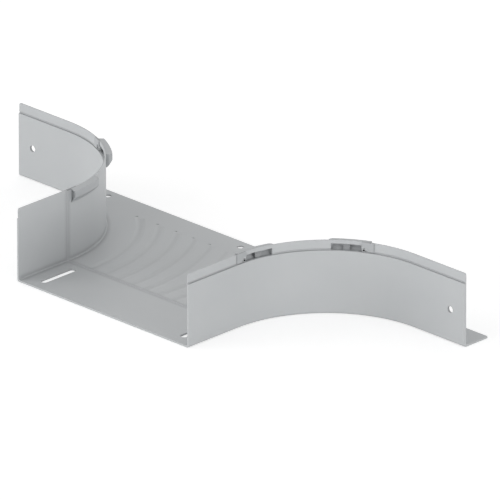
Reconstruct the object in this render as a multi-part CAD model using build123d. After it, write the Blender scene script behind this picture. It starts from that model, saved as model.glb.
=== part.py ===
from build123d import *
import os
from math import asin, cos, degrees, radians, sin, sqrt

# Cable tray tee: one moulded body, which is the floor with its two curved side walls, and
# four cover clips, each held on a wall's rim by a tubular rivet. Millimetres.
# X runs along the main tray, Y from the branch mouth to the main tray, and Z is up. The
# origin is under the middle of the body's outline, on the surface that the floor rests on.

# Channel
tray_width = 300.0  # of the branch tray that slides into the mouth
wall_height = 100.0
wall_thickness = 3.0
floor_thickness = 3.0
fold_radius = 3.0  # outside, along the foot of each wall
corner_radius = 2.0  # inside, between wall and floor
end_corner_radius = 2.5  # upper corners of the walls' ends

# Plan
branch_straight = 90.5  # straight wall from the mouth to the bend
bend_radius = 154.0  # outer, hollow face of each wall's quarter bend
side_straight = 90.0  # straight wall from the bend to its end
landing_width = 43.0  # floor beyond the walls, which goes under the main tray
landing_drop = 1.0  # the landing's top below the floor's
landing_corner_radius = 2.5

# Socket at the mouth, where the branch tray slides in
socket_depth = 88.0
socket_step = 0.7
socket_ramp = 1.5

# Rim, which the cover's edge laps over, with a groove along its foot for the cover's lip
rim_height = 13.5
rim_step = 1.3
rim_slope = 0.4
rim_groove_height = 1.6
rim_groove_depth = 0.6

# Grooves in the floor, which follow the walls' bends and run out at the landing
groove_pitch = 24.6
groove_width = 12.3
groove_depth = 0.8
grooves_per_side = 5
groove_gap = 2.0  # from the socket's end to the grooves' start
groove_straight = 7.0  # further straight stretch before the grooves bend
floor_reach = 7.5  # full floor past the walls' outer face, up to the landing

# Fixing holes
slot_width = 9.4
slot_length = 59.0
slot_inset = 28.0  # from the wall's outer face to the slot's middle
slot_setback = 45.0  # from the mouth to the slot's middle
wall_hole_diameter = 9.0
wall_hole_inset = 25.0
wall_hole_height = 44.0
landing_hole_diameter = 9.0
landing_hole_edge = 14.0
landing_hole_offsets = (27.0, 264.5)  # either side of the middle

# Windows in the rim, one to each clip
window_angles = {"front": 12.0, "rear": 54.5}  # degrees round the bend, from the branch
window_length = 39.0  # along the wall's outer face
window_height = 9.0

# Cover clips: a hollow box on the wall's inner face, joined to a flange on the rim's outer face
clip_near_reach = 2.4  # past the window, towards the other clip
clip_far_reach = 10.1  # past the window, on the rivet's side
clip_sheet = 1.5
clip_standoff = 8.3  # from the wall's inner face to the clip's front
clip_top_fall = 1.4  # the top's slope, from the wall to the clip's front
clip_face_foot = 10.5  # from the wall's top to the foot of the clip's front
clip_slope_height = 7.5
clip_foot_height = 0.6
clip_corner_radius = 1.0
clip_chamfer = 4.2  # legs of the cut corner at the near end
chamfer_overrun = 0.3  # of the cut's own length, past both faces
clip_end_recess = 2.0
clip_clearance = 0.05
opening_margin = 0.3  # of the opening in the clip's back, round the window
tongue_length = 8.0
nose_height = 4.5
nose_setback = 2.4  # nose tip to the wall's outer face
flange_reach = 16.5  # past the window, on the rivet's side
flange_sheet = 1.2
flange_lift = 1.4  # the flange's lower edge above the rim's foot
notch_depth = 1.5  # in the wall's top, where the clip's bridge crosses it

# Rivets
rivet_from_window = 3.2  # window's end to the rivet's axis
rivet_lift = 2.7  # rim's foot to the rivet's axis
rivet_shank_diameter = 4.2
rivet_bore_diameter = 2.6
rivet_head_diameter = 5.2
rivet_head_thickness = 0.8
rivet_clearance = 0.1
rivet_relief_radius = 5.0  # cut in the clip's flange, round the rivet's head

# Places that follow from the sizes above
half_width = tray_width / 2 + wall_thickness - socket_step
bend_x = half_width + bend_radius
end_x = bend_x + side_straight
depth = branch_straight + bend_radius + landing_width
front_y = -depth / 2
back_y = depth / 2
bend_y = front_y + branch_straight
wall_face_y = bend_y + bend_radius
landing_y = wall_face_y + floor_reach
landing_thickness = floor_thickness - landing_drop
rim_foot_z = wall_height - rim_height
clip_back = wall_thickness + clip_clearance
clip_front = wall_thickness + clip_standoff
cut_margin = 1.0


def cylinder_through(centre, direction, radius, length):
    """Cylinder of the given length, centred on a point, along a direction."""
    return Plane(origin=centre, z_dir=direction) * Cylinder(radius, length)


def section_plane(angle=0.0):
    """Plane across the right wall: x inwards from its outer face, y up, at an angle round
    the bend, where 0 is the branch's side and 90 the main tray's."""
    across = Vector(-cos(radians(angle)), sin(radians(angle)), 0)
    along = Vector(sin(radians(angle)), cos(radians(angle)), 0)
    centre = Vector(bend_x, bend_y, 0)
    return Plane(origin=centre + across * bend_radius, x_dir=across, z_dir=along)


def round_bend(section, first, last):
    """Turn a flat section of the right wall round the bend between two angles."""
    axis = Axis((bend_x, bend_y, 0), (0, 0, -1))
    return revolve(section_plane(min(first, last)) * section, axis, abs(last - first))


def arc_angle(length):
    """Angle round the bend, in degrees, of a length along the wall's outer face."""
    return degrees(length / bend_radius)


def section_box(near, far, low, high):
    """Rectangle in the wall's section, from its two insets and its two heights."""
    return Pos((near + far) / 2, (low + high) / 2) * Rectangle(far - near, high - low)


def wall_line(inset):
    """Right wall's line on plan: mouth, bend and end, inset from its outer face."""
    radius = bend_radius + inset
    mouth = (half_width - inset, front_y)
    bend_start = (half_width - inset, bend_y)
    bend_middle = (bend_x - radius * cos(radians(45)), bend_y + radius * sin(radians(45)))
    bend_end = (bend_x, bend_y + radius)
    end = (end_x, bend_y + radius)
    bend = ThreePointArc(bend_start, bend_middle, bend_end)
    return Line(mouth, bend_start) + bend + Line(bend_end, end)


def floor_slab():
    """Floor between the walls' feet, with the thinner landing for the main tray."""
    foot_y = wall_face_y + fold_radius
    right = wall_line(fold_radius) + Line((end_x, foot_y), (end_x, landing_y))
    left = mirror(right, Plane.YZ)
    mouth = Line((fold_radius - half_width, front_y), (half_width - fold_radius, front_y))
    back = Line((-end_x, landing_y), (end_x, landing_y))
    slab = extrude(make_face(right + left + mouth + back), floor_thickness)
    landing_length = back_y - foot_y
    landing = Pos(0, foot_y + landing_length / 2) * Rectangle(2 * end_x, landing_length)
    landing = fillet(landing.vertices().group_by(Axis.Y)[-1], landing_corner_radius)
    return slab + extrude(landing, landing_thickness)


def wall_section():
    """Wall's section: rounded foot, upright, ledge and groove of the rim, inside corner."""
    inner_foot = wall_thickness + corner_radius
    turn = 1 - cos(radians(45))
    groove_top = rim_foot_z + rim_groove_height
    outline = Line((inner_foot, 0), (fold_radius, 0))
    outline += ThreePointArc(
        (fold_radius, 0), (fold_radius * turn, fold_radius * turn), (0, fold_radius)
    )
    outline += Polyline(
        (0, fold_radius),
        (0, rim_foot_z - rim_slope),
        (rim_step + rim_groove_depth, rim_foot_z),
        (rim_step + rim_groove_depth, groove_top),
        (rim_step, groove_top + rim_groove_depth),
        (rim_step, wall_height),
        (wall_thickness, wall_height),
        (wall_thickness, floor_thickness + corner_radius),
    )
    outline += ThreePointArc(
        (wall_thickness, floor_thickness + corner_radius),
        (wall_thickness + corner_radius * turn, floor_thickness + corner_radius * turn),
        (inner_foot, floor_thickness),
    )
    outline += Line((inner_foot, floor_thickness), (inner_foot, 0))
    return make_face(outline)


def right_wall():
    """Right side wall: straight beside the branch, quarter bend, straight to its end."""
    section = wall_section()
    beside_branch = extrude(section_plane(0) * section, branch_straight, dir=(0, -1, 0))
    beside_main = extrude(section_plane(90) * section, side_straight)
    return beside_branch + round_bend(section, 0, 90) + beside_main


def socket_section(step):
    """Inside of the mouth, let into the walls and floor by a step, open at the top."""
    half = tray_width / 2 - socket_step + step
    low = floor_thickness - step
    high = wall_height + cut_margin
    face = Pos(0, (low + high) / 2) * Rectangle(2 * half, high - low)
    return fillet(face.vertices().sort_by(Axis.Y)[:2], corner_radius)


def socket_cutter():
    """Recess of the mouth, with a short ramp up to the floor and walls behind it."""
    straight_end = front_y + socket_depth - socket_ramp
    mouth_plane = Plane(origin=(0, front_y - cut_margin, 0), x_dir=(-1, 0, 0), z_dir=(0, 1, 0))
    ramp_start = Plane(origin=(0, straight_end, 0), x_dir=(-1, 0, 0), z_dir=(0, 1, 0))
    overrun = 0.25
    ramp_length = socket_ramp * (1 + overrun)
    ramp_end = Plane(origin=(0, straight_end + ramp_length, 0), x_dir=(-1, 0, 0), z_dir=(0, 1, 0))
    deep = socket_section(socket_step)
    shallow = socket_section(-overrun * socket_step)
    straight = extrude(mouth_plane * deep, straight_end - front_y + cut_margin)
    ramp = loft([ramp_start * deep, ramp_end * shallow])
    return straight + ramp


def groove_cutter(offset):
    """One floor groove right of the middle: straight, then round with the right wall."""
    start_y = front_y + socket_depth + groove_gap
    turn_y = bend_y + groove_straight
    end_y = landing_y + cut_margin
    turn_radius = bend_x - offset
    half_groove = groove_width / 2
    bed_radius = (half_groove**2 + groove_depth**2) / (2 * groove_depth)
    bed = Pos(0, floor_thickness - groove_depth + bed_radius) * Circle(bed_radius)
    above = Pos(0, floor_thickness + groove_depth / 2) * Rectangle(groove_width * 2, groove_depth)
    below = Pos(0, floor_thickness - groove_depth / 2) * Rectangle(groove_width, groove_depth)
    section = bed & (below + above)
    start = Plane(origin=(offset, start_y, 0), x_dir=(-1, 0, 0), z_dir=(0, 1, 0))
    turn = Plane(origin=(offset, turn_y, 0), x_dir=(-1, 0, 0), z_dir=(0, 1, 0))
    sweep_angle = degrees(asin((end_y - turn_y) / turn_radius))
    axis = Axis((bend_x, turn_y, 0), (0, 0, -1))
    return extrude(start * section, turn_y - start_y) + revolve(turn * section, axis, sweep_angle)


def floor_grooves():
    """All grooves: a family beside each wall, one pitch apart, half a pitch off the middle."""
    right = Part()
    for number in range(grooves_per_side):
        right += groove_cutter(groove_pitch * (number + 0.5))
    return right + mirror(right, Plane.YZ)


def fixing_holes():
    """Slots in the socket's floor, holes in the walls' ends and holes in the landing."""
    slot_place = Pos(half_width - slot_inset, front_y + slot_setback, floor_thickness / 2)
    slot = Rot(0, 0, 90) * SlotOverall(slot_length, slot_width)
    right = slot_place * extrude(slot, floor_thickness, both=True)
    wall_middle_y = wall_face_y + wall_thickness / 2
    right += cylinder_through(
        (end_x - wall_hole_inset, wall_middle_y, wall_hole_height),
        (0, 1, 0),
        wall_hole_diameter / 2,
        2 * wall_thickness,
    )
    for offset in landing_hole_offsets:
        centre = (offset, back_y - landing_hole_edge, landing_thickness / 2)
        right += cylinder_through(
            centre, (0, 0, 1), landing_hole_diameter / 2, 2 * landing_thickness
        )
    return right + mirror(right, Plane.YZ)


def far_side(place):
    """Which way round the bend a clip's rivet is: away from the other clip."""
    return -1 if place == "front" else 1


def past_window(place, length):
    """Angle at a length past the window's end, on the rivet's side."""
    return window_angles[place] + far_side(place) * arc_angle(window_length / 2 + length)


def before_window(place, length):
    """Angle at a length past the window's other end, towards the other clip."""
    return window_angles[place] - far_side(place) * arc_angle(window_length / 2 + length)


def rivet_plane(place):
    """Plane on the wall's outer face at a rivet, with its z inwards along the rivet."""
    section = section_plane(past_window(place, rivet_from_window))
    centre = section.origin + Vector(0, 0, rim_foot_z + rivet_lift)
    return Plane(origin=centre, z_dir=section.x_dir)


def wall_openings(place):
    """Window in the rim, rivet hole and notch in the wall's top for one clip."""
    window = section_box(-cut_margin, 2 * wall_thickness, rim_foot_z, rim_foot_z + window_height)
    opening = round_bend(window, before_window(place, 0), past_window(place, 0))
    hole_radius = rivet_shank_diameter / 2 + rivet_clearance
    opening += rivet_plane(place) * Cylinder(hole_radius, 4 * wall_thickness)
    notch = section_box(
        -cut_margin, 2 * wall_thickness, wall_height - notch_depth, wall_height + cut_margin
    )
    notch_start = past_window(place, opening_margin - clip_clearance)
    notch_end = past_window(place, flange_reach + clip_clearance)
    return opening + round_bend(notch, notch_start, notch_end)


def body():
    """Floor and both walls in one piece, with the socket, grooves, holes and windows."""
    right = right_wall()
    solid = floor_slab() + right + mirror(right, Plane.YZ)
    solid -= socket_cutter()
    solid -= floor_grooves()
    solid -= fixing_holes()
    for place in window_angles:
        openings = wall_openings(place)
        solid -= openings
        solid -= mirror(openings, Plane.YZ)
    top_edges = solid.edges().filter_by_position(Axis.Z, wall_height, wall_height)
    at_sides = [edge for edge in top_edges if abs(edge.center().X) > end_x - cut_margin]
    at_mouth = [edge for edge in top_edges if edge.center().Y < front_y + cut_margin]
    return fillet(at_sides + at_mouth, end_corner_radius)


def box_section():
    """Section of the clip's box: back, sloping top, upright front and sloping underside."""
    knee = wall_height - clip_face_foot
    toe = knee - clip_slope_height
    outline = Polyline(
        (clip_back, wall_height),
        (clip_front, wall_height - clip_top_fall),
        (clip_front, knee),
        (clip_back + clip_sheet, toe),
        (clip_back + clip_sheet, toe - clip_foot_height),
        (clip_back, toe - clip_foot_height),
        close=True,
    )
    section = make_face(outline)
    front_corners = section.vertices().group_by(Axis.X)[-1]
    return fillet(front_corners, clip_corner_radius)


def cavity_section():
    """Section of the hollow inside the clip's box."""
    knee = wall_height - clip_face_foot
    toe = knee - clip_slope_height
    outline = Polyline(
        (clip_back + clip_sheet, wall_height - clip_sheet),
        (clip_front - clip_sheet, wall_height - clip_top_fall - clip_sheet),
        (clip_front - clip_sheet, knee + clip_sheet / 2),
        (clip_back + clip_sheet, toe + clip_sheet),
        close=True,
    )
    return make_face(outline)


def corner_prism(place, past, inset, leg):
    """Upright prism that cuts the corner of the box's near end, at an inset from the wall's
    outer face, with equal legs along the end and along the front."""
    end = before_window(place, past)
    step = far_side(place) * arc_angle(leg)
    on_front = section_plane(end + step).origin + section_plane(end + step).x_dir * inset
    on_end = section_plane(end).origin + section_plane(end).x_dir * (inset - leg)
    outside = section_plane(end - step).origin + section_plane(end - step).x_dir * (inset + leg)
    overrun = (on_front - on_end) * chamfer_overrun
    plan = make_face(Polyline(on_front + overrun, on_end - overrun, outside, close=True))
    return extrude(plan, wall_height + cut_margin)


def clip_box(place):
    """Hollow box on the wall's inner face: chamfered at its near end, and closed by a
    recessed wall at its far end."""
    near = before_window(place, clip_near_reach)
    far = past_window(place, clip_far_reach)
    box = round_bend(box_section(), near, far)
    box -= corner_prism(place, clip_near_reach, clip_front, clip_chamfer)
    cavity_near = before_window(place, clip_near_reach - clip_sheet)
    cavity_far = past_window(place, clip_far_reach - clip_end_recess - clip_sheet)
    cavity = round_bend(cavity_section(), cavity_near, cavity_far)
    inner_chamfer = clip_chamfer - (2 - sqrt(2)) * clip_sheet
    cavity -= corner_prism(
        place, clip_near_reach - clip_sheet, clip_front - clip_sheet, inner_chamfer
    )
    recess_start = past_window(place, clip_far_reach - clip_end_recess)
    recess_end = past_window(place, clip_far_reach + cut_margin)
    return box - cavity - round_bend(cavity_section(), recess_start, recess_end)


def clip_opening(place):
    """Opening in the clip's back, a little larger than the window in the rim."""
    low = rim_foot_z - opening_margin
    high = rim_foot_z + window_height + opening_margin
    inner = clip_back + clip_sheet + clip_clearance
    back = section_box(wall_thickness, inner, low, high)
    start = before_window(place, opening_margin)
    return round_bend(back, start, past_window(place, opening_margin))


def clip_tongue(place):
    """Spring tongue in the clip's back, with the nose that reaches into the rim's window."""
    root = rim_foot_z + window_height + opening_margin
    tip = rim_foot_z + 2 * opening_margin
    outline = Polyline(
        (clip_back, root),
        (clip_back, tip + nose_height),
        (nose_setback, tip + nose_height / 2),
        (nose_setback, tip),
        (clip_back + clip_sheet, tip),
        (clip_back + clip_sheet, root),
        close=True,
    )
    half_tongue = arc_angle(tongue_length / 2)
    middle = window_angles[place]
    return round_bend(make_face(outline), middle - half_tongue, middle + half_tongue)


def clip_flange(place):
    """Flange on the rim's outer face, cut away round the rivet, and the bridge that joins
    it to the box through the notch in the wall's top."""
    start = past_window(place, opening_margin)
    end = past_window(place, flange_reach)
    inner = rim_step - clip_clearance
    outer = inner - flange_sheet
    bridge_low = wall_height - notch_depth + clip_clearance
    plate = section_box(outer, inner, rim_foot_z + flange_lift, wall_height)
    flange = round_bend(plate, start, end)
    flange -= rivet_plane(place) * Cylinder(rivet_relief_radius, 2 * rim_step + cut_margin)
    over_wall = section_box(outer, wall_thickness, bridge_low, wall_height)
    to_box = section_box(outer, clip_back, bridge_low, wall_height)
    flange += round_bend(over_wall, start, end)
    return flange + round_bend(to_box, start, past_window(place, clip_far_reach))


def right_clip(place):
    """Cover clip at one place on the right wall."""
    clip = clip_box(place) - clip_opening(place) + clip_tongue(place) + clip_flange(place)
    hole_radius = rivet_shank_diameter / 2 + rivet_clearance
    reach = clip_back + clip_sheet + cut_margin
    return clip - rivet_plane(place) * extrude(Circle(hole_radius), reach)


def right_rivet(place):
    """Tubular rivet through the rim and a clip's back, flanged at both ends."""
    head = rivet_head_diameter / 2
    shank = rivet_shank_diameter / 2
    bore = rivet_bore_diameter / 2
    rim_radius = bend_radius + rim_step
    seat = rim_step - (rim_radius - sqrt(rim_radius**2 - head**2))
    grip = clip_back + clip_sheet
    edge = rivet_head_thickness / 2
    profile = Polyline(
        (bore, seat - rivet_head_thickness),
        (head - edge, seat - rivet_head_thickness),
        (head, seat - rivet_head_thickness + edge),
        (head, seat),
        (shank, seat),
        (shank, grip),
        (head, grip),
        (head, grip + rivet_head_thickness - edge),
        (head - edge, grip + rivet_head_thickness),
        (bore, grip + rivet_head_thickness),
        close=True,
    )
    upright = Plane.XZ * make_face(profile)
    return rivet_plane(place) * revolve(upright, Axis.Z, 360)


os.makedirs("parts", exist_ok=True)
export_step(body(), "parts/tee_body.step")
for place in window_angles:
    for name, piece in (("cover_clip", right_clip(place)), ("clip_rivet", right_rivet(place))):
        export_step(piece, f"parts/{name}_right_{place}.step")
        export_step(mirror(piece, Plane.YZ), f"parts/{name}_left_{place}.step")
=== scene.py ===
import bpy
import math
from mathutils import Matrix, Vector

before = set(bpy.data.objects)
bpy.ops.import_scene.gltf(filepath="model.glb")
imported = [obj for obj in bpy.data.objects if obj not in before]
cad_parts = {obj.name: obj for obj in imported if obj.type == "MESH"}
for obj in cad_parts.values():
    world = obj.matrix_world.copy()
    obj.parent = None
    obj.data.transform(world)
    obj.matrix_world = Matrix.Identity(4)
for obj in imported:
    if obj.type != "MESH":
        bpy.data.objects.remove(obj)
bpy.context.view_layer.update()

# Cable tray tee in pale grey rigid PVC, on a white studio floor. Metres, in the part's own
# frame: X along the main tray, Y from the branch mouth to the main tray, Z up.

MM = 0.001

# Camera: a long lens from far off, so that parallel edges stay parallel
VIEW_AZIMUTH = 44.691  # degrees round the part, from the branch mouth towards +X
VIEW_ELEVATION = 22.945  # degrees above the floor
VIEW_DISTANCE = 26.274
VIEW_RIGHT = 84.2 * MM  # aim, to the right of the part's origin in the view
VIEW_UP = 41.3 * MM  # aim, above the part's origin in the view
LENS = 1500.0
SENSOR = 36.0

# Light
WORLD_STRENGTH = 0.56
LAMPS = {  # azimuth from -Y towards +X, elevation, width of the soft lamp, strength
    "right": (90.0, 8.0, 30.0, 1.18),
    "front": (0.0, 8.0, 30.0, 0.85),
    "left": (-45.0, 15.0, 40.0, 0.83),
    "back": (-150.0, 35.0, 60.0, 0.36),
}
WHITE = "ffffff"
STAGE_SIZE = 8.0
STAGE_DROP = 0.2 * MM  # below the part, so that the two faces don't share one plane
STAGE_PAINT = "d8d8d8"
STAGE_GLOW = 0.52  # share of the floor's white that isn't light from the lamps

# Body: rigid PVC
PVC_TONES = ("bcbfc1", "c6c8c9")
# painted shade: the darker grey laid into corners, creases and the grooves' beds
PVC_PAINTED_SHADE = "9fa1a3"
# painted shade: the darker line along the socket's step
PVC_STEP_SHADE = "b3b5b7"
PVC_ROUGHNESS = (0.46, 0.56)
PVC_IOR = 1.53
MOTTLE_SIZE = 70 * MM  # soft tone changes where the melt flowed
MOTTLE_DETAIL = 3.0
MOTTLE_BREAKUP = 0.5
GRAIN_SIZE = 2.5 * MM  # real mould grain is near 0.1 mm, drawn coarser so that a render holds it
GRAIN_DEPTH = 0.02 * MM
GRAIN_DETAIL = 4.0
GRAIN_BREAKUP = 0.6
SINK_SIZE = 30 * MM  # waves left as the moulding cools
SINK_DEPTH = 0.12 * MM
SINK_DETAIL = 1.0
PVC_BUMP = 0.6
CORNER_REACH = 10 * MM  # how far the painted shade spreads out of the corners
CORNER_OPENNESS = (0.5, 0.92)  # fully in painted shade below the first, without it above the second

# Body: painted shade on the socket's step, where the branch tray's end goes in and out
STEP_Y = -56.5 * MM  # middle of the socket's ramp
STEP_HALF = 0.75 * MM
STEP_FADE = 6 * MM
STEP_INSIDE = 151 * MM  # inside the side walls' outer faces
FLOOR_INSIDE = 1.5 * MM  # anything higher isn't the floor's underside

# Body: painted shade along the beds of the floor's grooves
GROOVE_PITCH = 24.6 * MM  # the first is half a pitch off the middle
GROOVES_PER_SIDE = 5
GROOVE_START_Y = -53.75 * MM
GROOVE_TURN_Y = -46.25 * MM  # where the grooves start to bend with the walls
GROOVE_END_Y = 105 * MM
GROOVE_SHADE_WIDTH = 9 * MM  # fades to nothing at both sides
GROOVE_SHADE = 0.2  # share of the painted shade's colour along the middle of the bed

# Clips: ABS
ABS_TONES = ("adb0b2", "b5b7b9")
# painted shade: the darker grey laid into the clips' creases and slots
ABS_PAINTED_SHADE = "9b9ea0"
# painted shade: the tongue's nose and the bridge, darkened like the recess behind them
ABS_WINDOW_SHADE = "8b8d8f"
ABS_ROUGHNESS = (0.36, 0.46)
ABS_IOR = 1.54
ABS_MOTTLE_SIZE = 17.5 * MM
ABS_GRAIN_DEPTH = 0.01 * MM
ABS_DETAIL = 2.0  # of both patterns
ABS_BUMP = 0.4
CREASE_REACH = 5 * MM  # how far the painted shade spreads out of the small creases of clips and rivets
CLIP_OPENNESS = (0.3, 0.95)
BEND_X = 306.3 * MM  # axis of each wall's bend, either side of the middle
BEND_Y = -53.25 * MM
FLANGE_RADIUS = 155.5 * MM  # the clip's flange ends inside this radius
CLIP_BACK_RADIUS = 157.2 * MM  # and the clip's back starts outside this one

# Rivets: aluminium
RIVET_TONE = "a9abac"
# painted shade: the near-black inside the rivet's bore
RIVET_BORE_SHADE = "3c3d3e"
RIVET_ROUGHNESS = (0.38, 0.52)
RIVET_BUMP = 0.5
BORE_OPENNESS = (0.3, 0.8)
DENT_SIZE = 0.9 * MM  # marks from tumbling
DENT_DEPTH = 0.01 * MM
DENT_SPAN = (0.0, 0.8)  # of the pattern's distance, over which the roughness changes

# Patterns
NOISE_SPAN = (0.3, 0.7)  # of a noise, over which the roughness changes
OCCLUSION_SAMPLES = 16

# Sockets of a node that mixes colours
SHARE = 0
UNDER = 6
OVER = 7
MIXED = 2


def linear(hex_colour):
    """sRGB hex string to a linear colour with alpha."""
    channels = [int(hex_colour[i : i + 2], 16) / 255 for i in (0, 2, 4)]
    curve = [c / 12.92 if c <= 0.04045 else ((c + 0.055) / 1.055) ** 2.4 for c in channels]
    return (*curve, 1.0)


def add(tree, kind, links=None, inputs=None, **settings):
    """Node of a kind, with its settings, input values and input links."""
    node = tree.nodes.new(kind)
    for name, value in settings.items():
        setattr(node, name, value)
    for name, value in (inputs or {}).items():
        node.inputs[name].default_value = value
    for name, output in (links or {}).items():
        tree.links.new(output, node.inputs[name])
    return node


def new_material(name):
    """Empty node material, with its tree and shader."""
    material = bpy.data.materials.new(name)
    material.use_nodes = True
    tree = material.node_tree
    tree.nodes.clear()
    shader = add(tree, "ShaderNodeBsdfPrincipled")
    add(tree, "ShaderNodeOutputMaterial", links={"Surface": shader.outputs["BSDF"]})
    return material, tree, shader


def spread(read, given):
    """Limits of a range that reads one span and gives another."""
    return {"From Min": read[0], "From Max": read[1], "To Min": given[0], "To Max": given[1]}


def unshaded_share(tree, reach, openness, own_shape_only):
    """How open a spot is, from ambient occlusion: 0 deep in a crease, where painted shade goes, to
    1 on an open face.
    """
    open_air = add(
        tree,
        "ShaderNodeAmbientOcclusion",
        samples=OCCLUSION_SAMPLES,
        only_local=own_shape_only,
        inputs={"Distance": reach},
    )
    unshaded = add(
        tree,
        "ShaderNodeMapRange",
        inputs=spread(openness, (0.0, 1.0)),
        links={"Value": open_air.outputs["AO"]},
    )
    return unshaded.outputs["Result"]


def share_within(tree, share, limits):
    """A share, cut to nothing outside each limit: value, side of the bound, bound."""
    for value, side, bound in limits:
        inside = add(
            tree, "ShaderNodeMath", operation=side, inputs={1: bound}, links={0: value}
        )
        cut = add(
            tree,
            "ShaderNodeMath",
            operation="MULTIPLY",
            links={0: share, 1: inside.outputs[0]},
        )
        share = cut.outputs[0]
    return share


def bend_distance(tree, sideways, along, axis_y):
    """Distance in plan, on either side of the part, from the axis of the wall's bend."""
    plan = add(tree, "ShaderNodeCombineXYZ", links={"X": sideways, "Y": along})
    distance = add(
        tree,
        "ShaderNodeVectorMath",
        operation="DISTANCE",
        inputs={1: (BEND_X, axis_y, 0)},
        links={0: plan.outputs["Vector"]},
    )
    return distance.outputs["Value"]


def step_shade(tree, spot, sideways):
    """Share of painted shade at a spot: a darker line on the socket's step, fading to both sides.
    """
    off_step = add(
        tree, "ShaderNodeMath", operation="SUBTRACT", inputs={1: STEP_Y}, links={0: spot["Y"]}
    )
    away = add(tree, "ShaderNodeMath", operation="ABSOLUTE", links={0: off_step.outputs[0]})
    step_shaded = add(
        tree,
        "ShaderNodeMapRange",
        interpolation_type="SMOOTHSTEP",
        inputs=spread((STEP_HALF, STEP_HALF + STEP_FADE), (1.0, 0.0)),
        links={"Value": away.outputs[0]},
    )
    limits = (
        (sideways, "LESS_THAN", STEP_INSIDE),
        (spot["Z"], "GREATER_THAN", FLOOR_INSIDE),
    )
    return share_within(tree, step_shaded.outputs["Result"], limits)


def groove_shade(tree, spot, sideways):
    """Share of painted shade at a spot: a soft darker line along the bed of each groove in the
    floor.

    Ahead of the bend a groove runs straight, so its distance from the bend's axis is measured
    sideways only. That distance, taken off the axis's own, grows by one pitch per groove.
    """
    along = add(
        tree, "ShaderNodeMath", operation="MAXIMUM", inputs={1: GROOVE_TURN_Y}, links={0: spot["Y"]}
    )
    off_middle = add(
        tree,
        "ShaderNodeMath",
        operation="SUBTRACT",
        inputs={0: BEND_X},
        links={1: bend_distance(tree, sideways, along.outputs[0], GROOVE_TURN_Y)},
    )
    off_ridge = add(  # nothing on the ridges, half a pitch in the beds
        tree,
        "ShaderNodeMath",
        operation="PINGPONG",
        inputs={1: GROOVE_PITCH / 2},
        links={0: off_middle.outputs[0]},
    )
    bed_edge = (GROOVE_PITCH - GROOVE_SHADE_WIDTH) / 2
    bed = add(
        tree,
        "ShaderNodeMapRange",
        interpolation_type="SMOOTHSTEP",
        inputs=spread((bed_edge, GROOVE_PITCH / 2), (0.0, GROOVE_SHADE)),
        links={"Value": off_ridge.outputs[0]},
    )
    limits = (
        (off_middle.outputs[0], "LESS_THAN", GROOVES_PER_SIDE * GROOVE_PITCH),
        (spot["Y"], "GREATER_THAN", GROOVE_START_Y),
        (spot["Y"], "LESS_THAN", GROOVE_END_Y),
        (spot["Z"], "GREATER_THAN", FLOOR_INSIDE),
    )
    return share_within(tree, bed.outputs["Result"], limits)


def moulded_pvc():
    """Rigid PVC, injection moulded: satin, with soft tone changes, sink waves and a fine grain.

    The steel mould is spark eroded, which leaves an even grain that spreads the highlights. The
    melt cools unevenly over the wide floor, so long shallow waves show in a grazing light.
    """
    material, tree, shader = new_material("rigid_pvc_moulded_grey")
    place = add(tree, "ShaderNodeTexCoord").outputs["Object"]
    mottle = add(
        tree,
        "ShaderNodeTexNoise",
        inputs={
            "Scale": 1 / MOTTLE_SIZE,
            "Detail": MOTTLE_DETAIL,
            "Roughness": MOTTLE_BREAKUP,
        },
        links={"Vector": place},
    )
    tone = add(
        tree,
        "ShaderNodeMix",
        data_type="RGBA",
        inputs={UNDER: linear(PVC_TONES[0]), OVER: linear(PVC_TONES[1])},
        links={SHARE: mottle.outputs["Fac"]},
    )
    # Painted shade in the corners, the rim's groove and round the clips, from ambient occlusion
    crease_shaded = add(
        tree,
        "ShaderNodeMix",
        data_type="RGBA",
        inputs={UNDER: linear(PVC_PAINTED_SHADE)},
        links={
            SHARE: unshaded_share(tree, CORNER_REACH, CORNER_OPENNESS, own_shape_only=True),
            OVER: tone.outputs[MIXED],
        },
    )
    spot = add(tree, "ShaderNodeSeparateXYZ", links={"Vector": place}).outputs
    sideways = add(tree, "ShaderNodeMath", operation="ABSOLUTE", links={0: spot["X"]}).outputs[0]
    step_shaded = add(
        tree,
        "ShaderNodeMix",
        data_type="RGBA",
        inputs={OVER: linear(PVC_STEP_SHADE)},
        links={SHARE: step_shade(tree, spot, sideways), UNDER: crease_shaded.outputs[MIXED]},
    )
    lined = add(
        tree,
        "ShaderNodeMix",
        data_type="RGBA",
        inputs={OVER: linear(PVC_PAINTED_SHADE)},
        links={SHARE: groove_shade(tree, spot, sideways), UNDER: step_shaded.outputs[MIXED]},
    )
    satin = add(
        tree,
        "ShaderNodeMapRange",
        inputs=spread(NOISE_SPAN, PVC_ROUGHNESS),
        links={"Value": mottle.outputs["Fac"]},
    )
    waves = add(
        tree,
        "ShaderNodeTexNoise",
        inputs={"Scale": 1 / SINK_SIZE, "Detail": SINK_DETAIL},
        links={"Vector": place},
    )
    grain = add(
        tree,
        "ShaderNodeTexNoise",
        inputs={
            "Scale": 1 / GRAIN_SIZE,
            "Detail": GRAIN_DETAIL,
            "Roughness": GRAIN_BREAKUP,
        },
        links={"Vector": place},
    )
    waved = add(
        tree,
        "ShaderNodeBump",
        inputs={"Strength": PVC_BUMP, "Distance": SINK_DEPTH},
        links={"Height": waves.outputs["Fac"]},
    )
    grained = add(
        tree,
        "ShaderNodeBump",
        inputs={"Strength": PVC_BUMP, "Distance": GRAIN_DEPTH},
        links={"Height": grain.outputs["Fac"], "Normal": waved.outputs["Normal"]},
    )
    shader.inputs["IOR"].default_value = PVC_IOR
    tree.links.new(lined.outputs[MIXED], shader.inputs["Base Color"])
    tree.links.new(satin.outputs["Result"], shader.inputs["Roughness"])
    tree.links.new(grained.outputs["Normal"], shader.inputs["Normal"])
    return material


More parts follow.
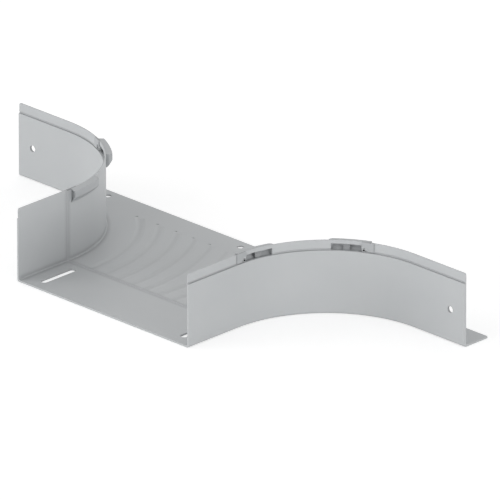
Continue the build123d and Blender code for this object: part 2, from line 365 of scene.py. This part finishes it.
def clip_abs():
    """ABS, injection moulded in a polished mould: a little darker and smoother than the body.

    Short shots in a small polished mould leave a smooth skin with hardly any grain, so the
    clips catch a slightly tighter highlight than the body behind them.
    """
    material, tree, shader = new_material("abs_moulded_clip_grey")
    place = add(tree, "ShaderNodeTexCoord").outputs["Object"]
    mottle = add(
        tree,
        "ShaderNodeTexNoise",
        inputs={"Scale": 1 / ABS_MOTTLE_SIZE, "Detail": ABS_DETAIL},
        links={"Vector": place},
    )
    tone = add(
        tree,
        "ShaderNodeMix",
        data_type="RGBA",
        inputs={UNDER: linear(ABS_TONES[0]), OVER: linear(ABS_TONES[1])},
        links={SHARE: mottle.outputs["Fac"]},
    )
    # Painted shade where the clip meets the wall and in its slots, from ambient occlusion
    crease_shaded = add(
        tree,
        "ShaderNodeMix",
        data_type="RGBA",
        inputs={UNDER: linear(ABS_PAINTED_SHADE)},
        links={
            SHARE: unshaded_share(tree, CREASE_REACH, CLIP_OPENNESS, own_shape_only=False),
            OVER: tone.outputs[MIXED],
        },
    )
    # Painted shade on the spring tongue's nose in the window and on the bridge over the rim,
    # darkened to the shade of the recess they sit in. They are all that the clip has between its
    # flange and its back.
    spot = add(tree, "ShaderNodeSeparateXYZ", links={"Vector": place}).outputs
    sideways = add(tree, "ShaderNodeMath", operation="ABSOLUTE", links={0: spot["X"]}).outputs[0]
    from_bend = bend_distance(tree, sideways, spot["Y"], BEND_Y)
    off_back = add(
        tree,
        "ShaderNodeMath",
        operation="LESS_THAN",
        inputs={1: CLIP_BACK_RADIUS},
        links={0: from_bend},
    )
    limits = [(from_bend, "GREATER_THAN", FLANGE_RADIUS)]
    window_shaded = add(
        tree,
        "ShaderNodeMix",
        data_type="RGBA",
        inputs={OVER: linear(ABS_WINDOW_SHADE)},
        links={
            SHARE: share_within(tree, off_back.outputs[0], limits),
            UNDER: crease_shaded.outputs[MIXED],
        },
    )
    satin = add(
        tree,
        "ShaderNodeMapRange",
        inputs=spread(NOISE_SPAN, ABS_ROUGHNESS),
        links={"Value": mottle.outputs["Fac"]},
    )
    grain = add(
        tree,
        "ShaderNodeTexNoise",
        inputs={"Scale": 1 / GRAIN_SIZE, "Detail": ABS_DETAIL},
        links={"Vector": place},
    )
    grained = add(
        tree,
        "ShaderNodeBump",
        inputs={"Strength": ABS_BUMP, "Distance": ABS_GRAIN_DEPTH},
        links={"Height": grain.outputs["Fac"]},
    )
    shader.inputs["IOR"].default_value = ABS_IOR
    tree.links.new(window_shaded.outputs[MIXED], shader.inputs["Base Color"])
    tree.links.new(satin.outputs["Result"], shader.inputs["Roughness"])
    tree.links.new(grained.outputs["Normal"], shader.inputs["Normal"])
    return material


def tumbled_aluminium():
    """Aluminium tubular rivet, cold headed from wire and tumbled: dull metal with small dents."""
    material, tree, shader = new_material("aluminium_tumbled_rivet")
    place = add(tree, "ShaderNodeTexCoord").outputs["Object"]
    dents = add(
        tree,
        "ShaderNodeTexVoronoi",
        inputs={"Scale": 1 / DENT_SIZE},
        links={"Vector": place},
    )
    dull = add(
        tree,
        "ShaderNodeMapRange",
        inputs=spread(DENT_SPAN, RIVET_ROUGHNESS),
        links={"Value": dents.outputs["Distance"]},
    )
    dented = add(
        tree,
        "ShaderNodeBump",
        inputs={"Strength": RIVET_BUMP, "Distance": DENT_DEPTH},
        links={"Height": dents.outputs["Distance"]},
    )
    # Painted shade in the rivet's bore, from ambient occlusion, near black
    tone = add(
        tree,
        "ShaderNodeMix",
        data_type="RGBA",
        inputs={UNDER: linear(RIVET_BORE_SHADE), OVER: linear(RIVET_TONE)},
        links={SHARE: unshaded_share(tree, CREASE_REACH, BORE_OPENNESS, own_shape_only=True)},
    )
    shader.inputs["Metallic"].default_value = 1.0
    tree.links.new(tone.outputs[MIXED], shader.inputs["Base Color"])
    tree.links.new(dull.outputs["Result"], shader.inputs["Roughness"])
    tree.links.new(dented.outputs["Normal"], shader.inputs["Normal"])
    return material


def dress_nodes():
    """Each piece of the frame gets its material."""
    body = moulded_pvc()
    clip = clip_abs()
    rivet = tumbled_aluminium()
    for name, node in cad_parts.items():
        node.data.materials.clear()
        if name.startswith("cover_clip"):
            node.data.materials.append(clip)
        elif name.startswith("clip_rivet"):
            node.data.materials.append(rivet)
        else:
            node.data.materials.append(body)


def white_floor():
    """Plain floor that shows white to the camera and keeps the part's soft shadow."""
    mesh = bpy.data.meshes.new("studio_floor")
    half = STAGE_SIZE / 2
    corners = [(-half, -half, 0), (half, -half, 0), (half, half, 0), (-half, half, 0)]
    mesh.from_pydata(corners, [], [(0, 1, 2, 3)])
    floor = bpy.data.objects.new("studio_floor", mesh)
    floor.location.z = -STAGE_DROP
    bpy.context.scene.collection.objects.link(floor)
    material = bpy.data.materials.new("studio_floor_white")
    material.use_nodes = True
    tree = material.node_tree
    tree.nodes.clear()
    path = add(tree, "ShaderNodeLightPath")
    seen = add(
        tree,
        "ShaderNodeMath",
        operation="MAXIMUM",
        links={0: path.outputs["Is Camera Ray"], 1: path.outputs["Is Glossy Ray"]},
    )
    strength = add(
        tree,
        "ShaderNodeMath",
        operation="MULTIPLY",
        inputs={1: STAGE_GLOW},
        links={0: seen.outputs[0]},
    )
    glow = add(
        tree,
        "ShaderNodeEmission",
        inputs={"Color": linear(WHITE)},
        links={"Strength": strength.outputs[0]},
    )
    paint = add(tree, "ShaderNodeBsdfDiffuse", inputs={"Color": linear(STAGE_PAINT)})
    both = add(tree, "ShaderNodeAddShader", links={0: glow.outputs[0], 1: paint.outputs[0]})
    add(tree, "ShaderNodeOutputMaterial", links={"Surface": both.outputs[0]})
    mesh.materials.append(material)


def direction(azimuth, elevation):
    """Unit vector from the part towards a place round it, by azimuth from -Y towards +X."""
    a = math.radians(azimuth)
    e = math.radians(elevation)
    return Vector((math.sin(a) * math.cos(e), -math.cos(a) * math.cos(e), math.sin(e)))


def studio_light():
    """Even sky all round, white behind the part, and broad soft lamps on four sides."""
    world = bpy.data.worlds.new("studio")
    bpy.context.scene.world = world
    world.use_nodes = True
    tree = world.node_tree
    tree.nodes.clear()
    path = add(tree, "ShaderNodeLightPath")
    sky = add(
        tree,
        "ShaderNodeBackground",
        inputs={"Color": linear(WHITE), "Strength": WORLD_STRENGTH},
    )
    backdrop = add(
        tree, "ShaderNodeBackground", inputs={"Color": linear(WHITE), "Strength": 1.0}
    )
    mix = add(
        tree,
        "ShaderNodeMixShader",
        links={0: path.outputs["Is Camera Ray"], 1: sky.outputs[0], 2: backdrop.outputs[0]},
    )
    add(tree, "ShaderNodeOutputWorld", links={"Surface": mix.outputs[0]})

    for name, (azimuth, elevation, width, strength) in LAMPS.items():
        lamp = bpy.data.lights.new(name, "SUN")
        lamp.energy = strength
        lamp.angle = math.radians(width)
        holder = bpy.data.objects.new(name, lamp)
        holder.rotation_mode = "QUATERNION"
        holder.rotation_quaternion = direction(azimuth, elevation).to_track_quat("Z", "Y")
        bpy.context.scene.collection.objects.link(holder)


def photo_camera():
    """Camera at the photograph's viewing angle."""
    lens = bpy.data.cameras.new("photo_view")
    lens.lens = LENS
    lens.sensor_width = SENSOR
    lens.clip_start = VIEW_DISTANCE / 2
    lens.clip_end = VIEW_DISTANCE * 2
    camera = bpy.data.objects.new("photo_view", lens)
    turn = math.radians(VIEW_AZIMUTH)
    back = direction(VIEW_AZIMUTH, VIEW_ELEVATION)
    right = Vector((math.cos(turn), math.sin(turn), 0))
    up = back.cross(right)
    camera.location = right * VIEW_RIGHT + up * VIEW_UP + back * VIEW_DISTANCE
    camera.rotation_mode = "QUATERNION"
    camera.rotation_quaternion = back.to_track_quat("Z", "Y")
    bpy.context.scene.collection.objects.link(camera)
    bpy.context.scene.camera = camera


dress_nodes()
white_floor()
studio_light()
photo_camera()
bpy.context.scene.view_settings.view_transform = "Standard"
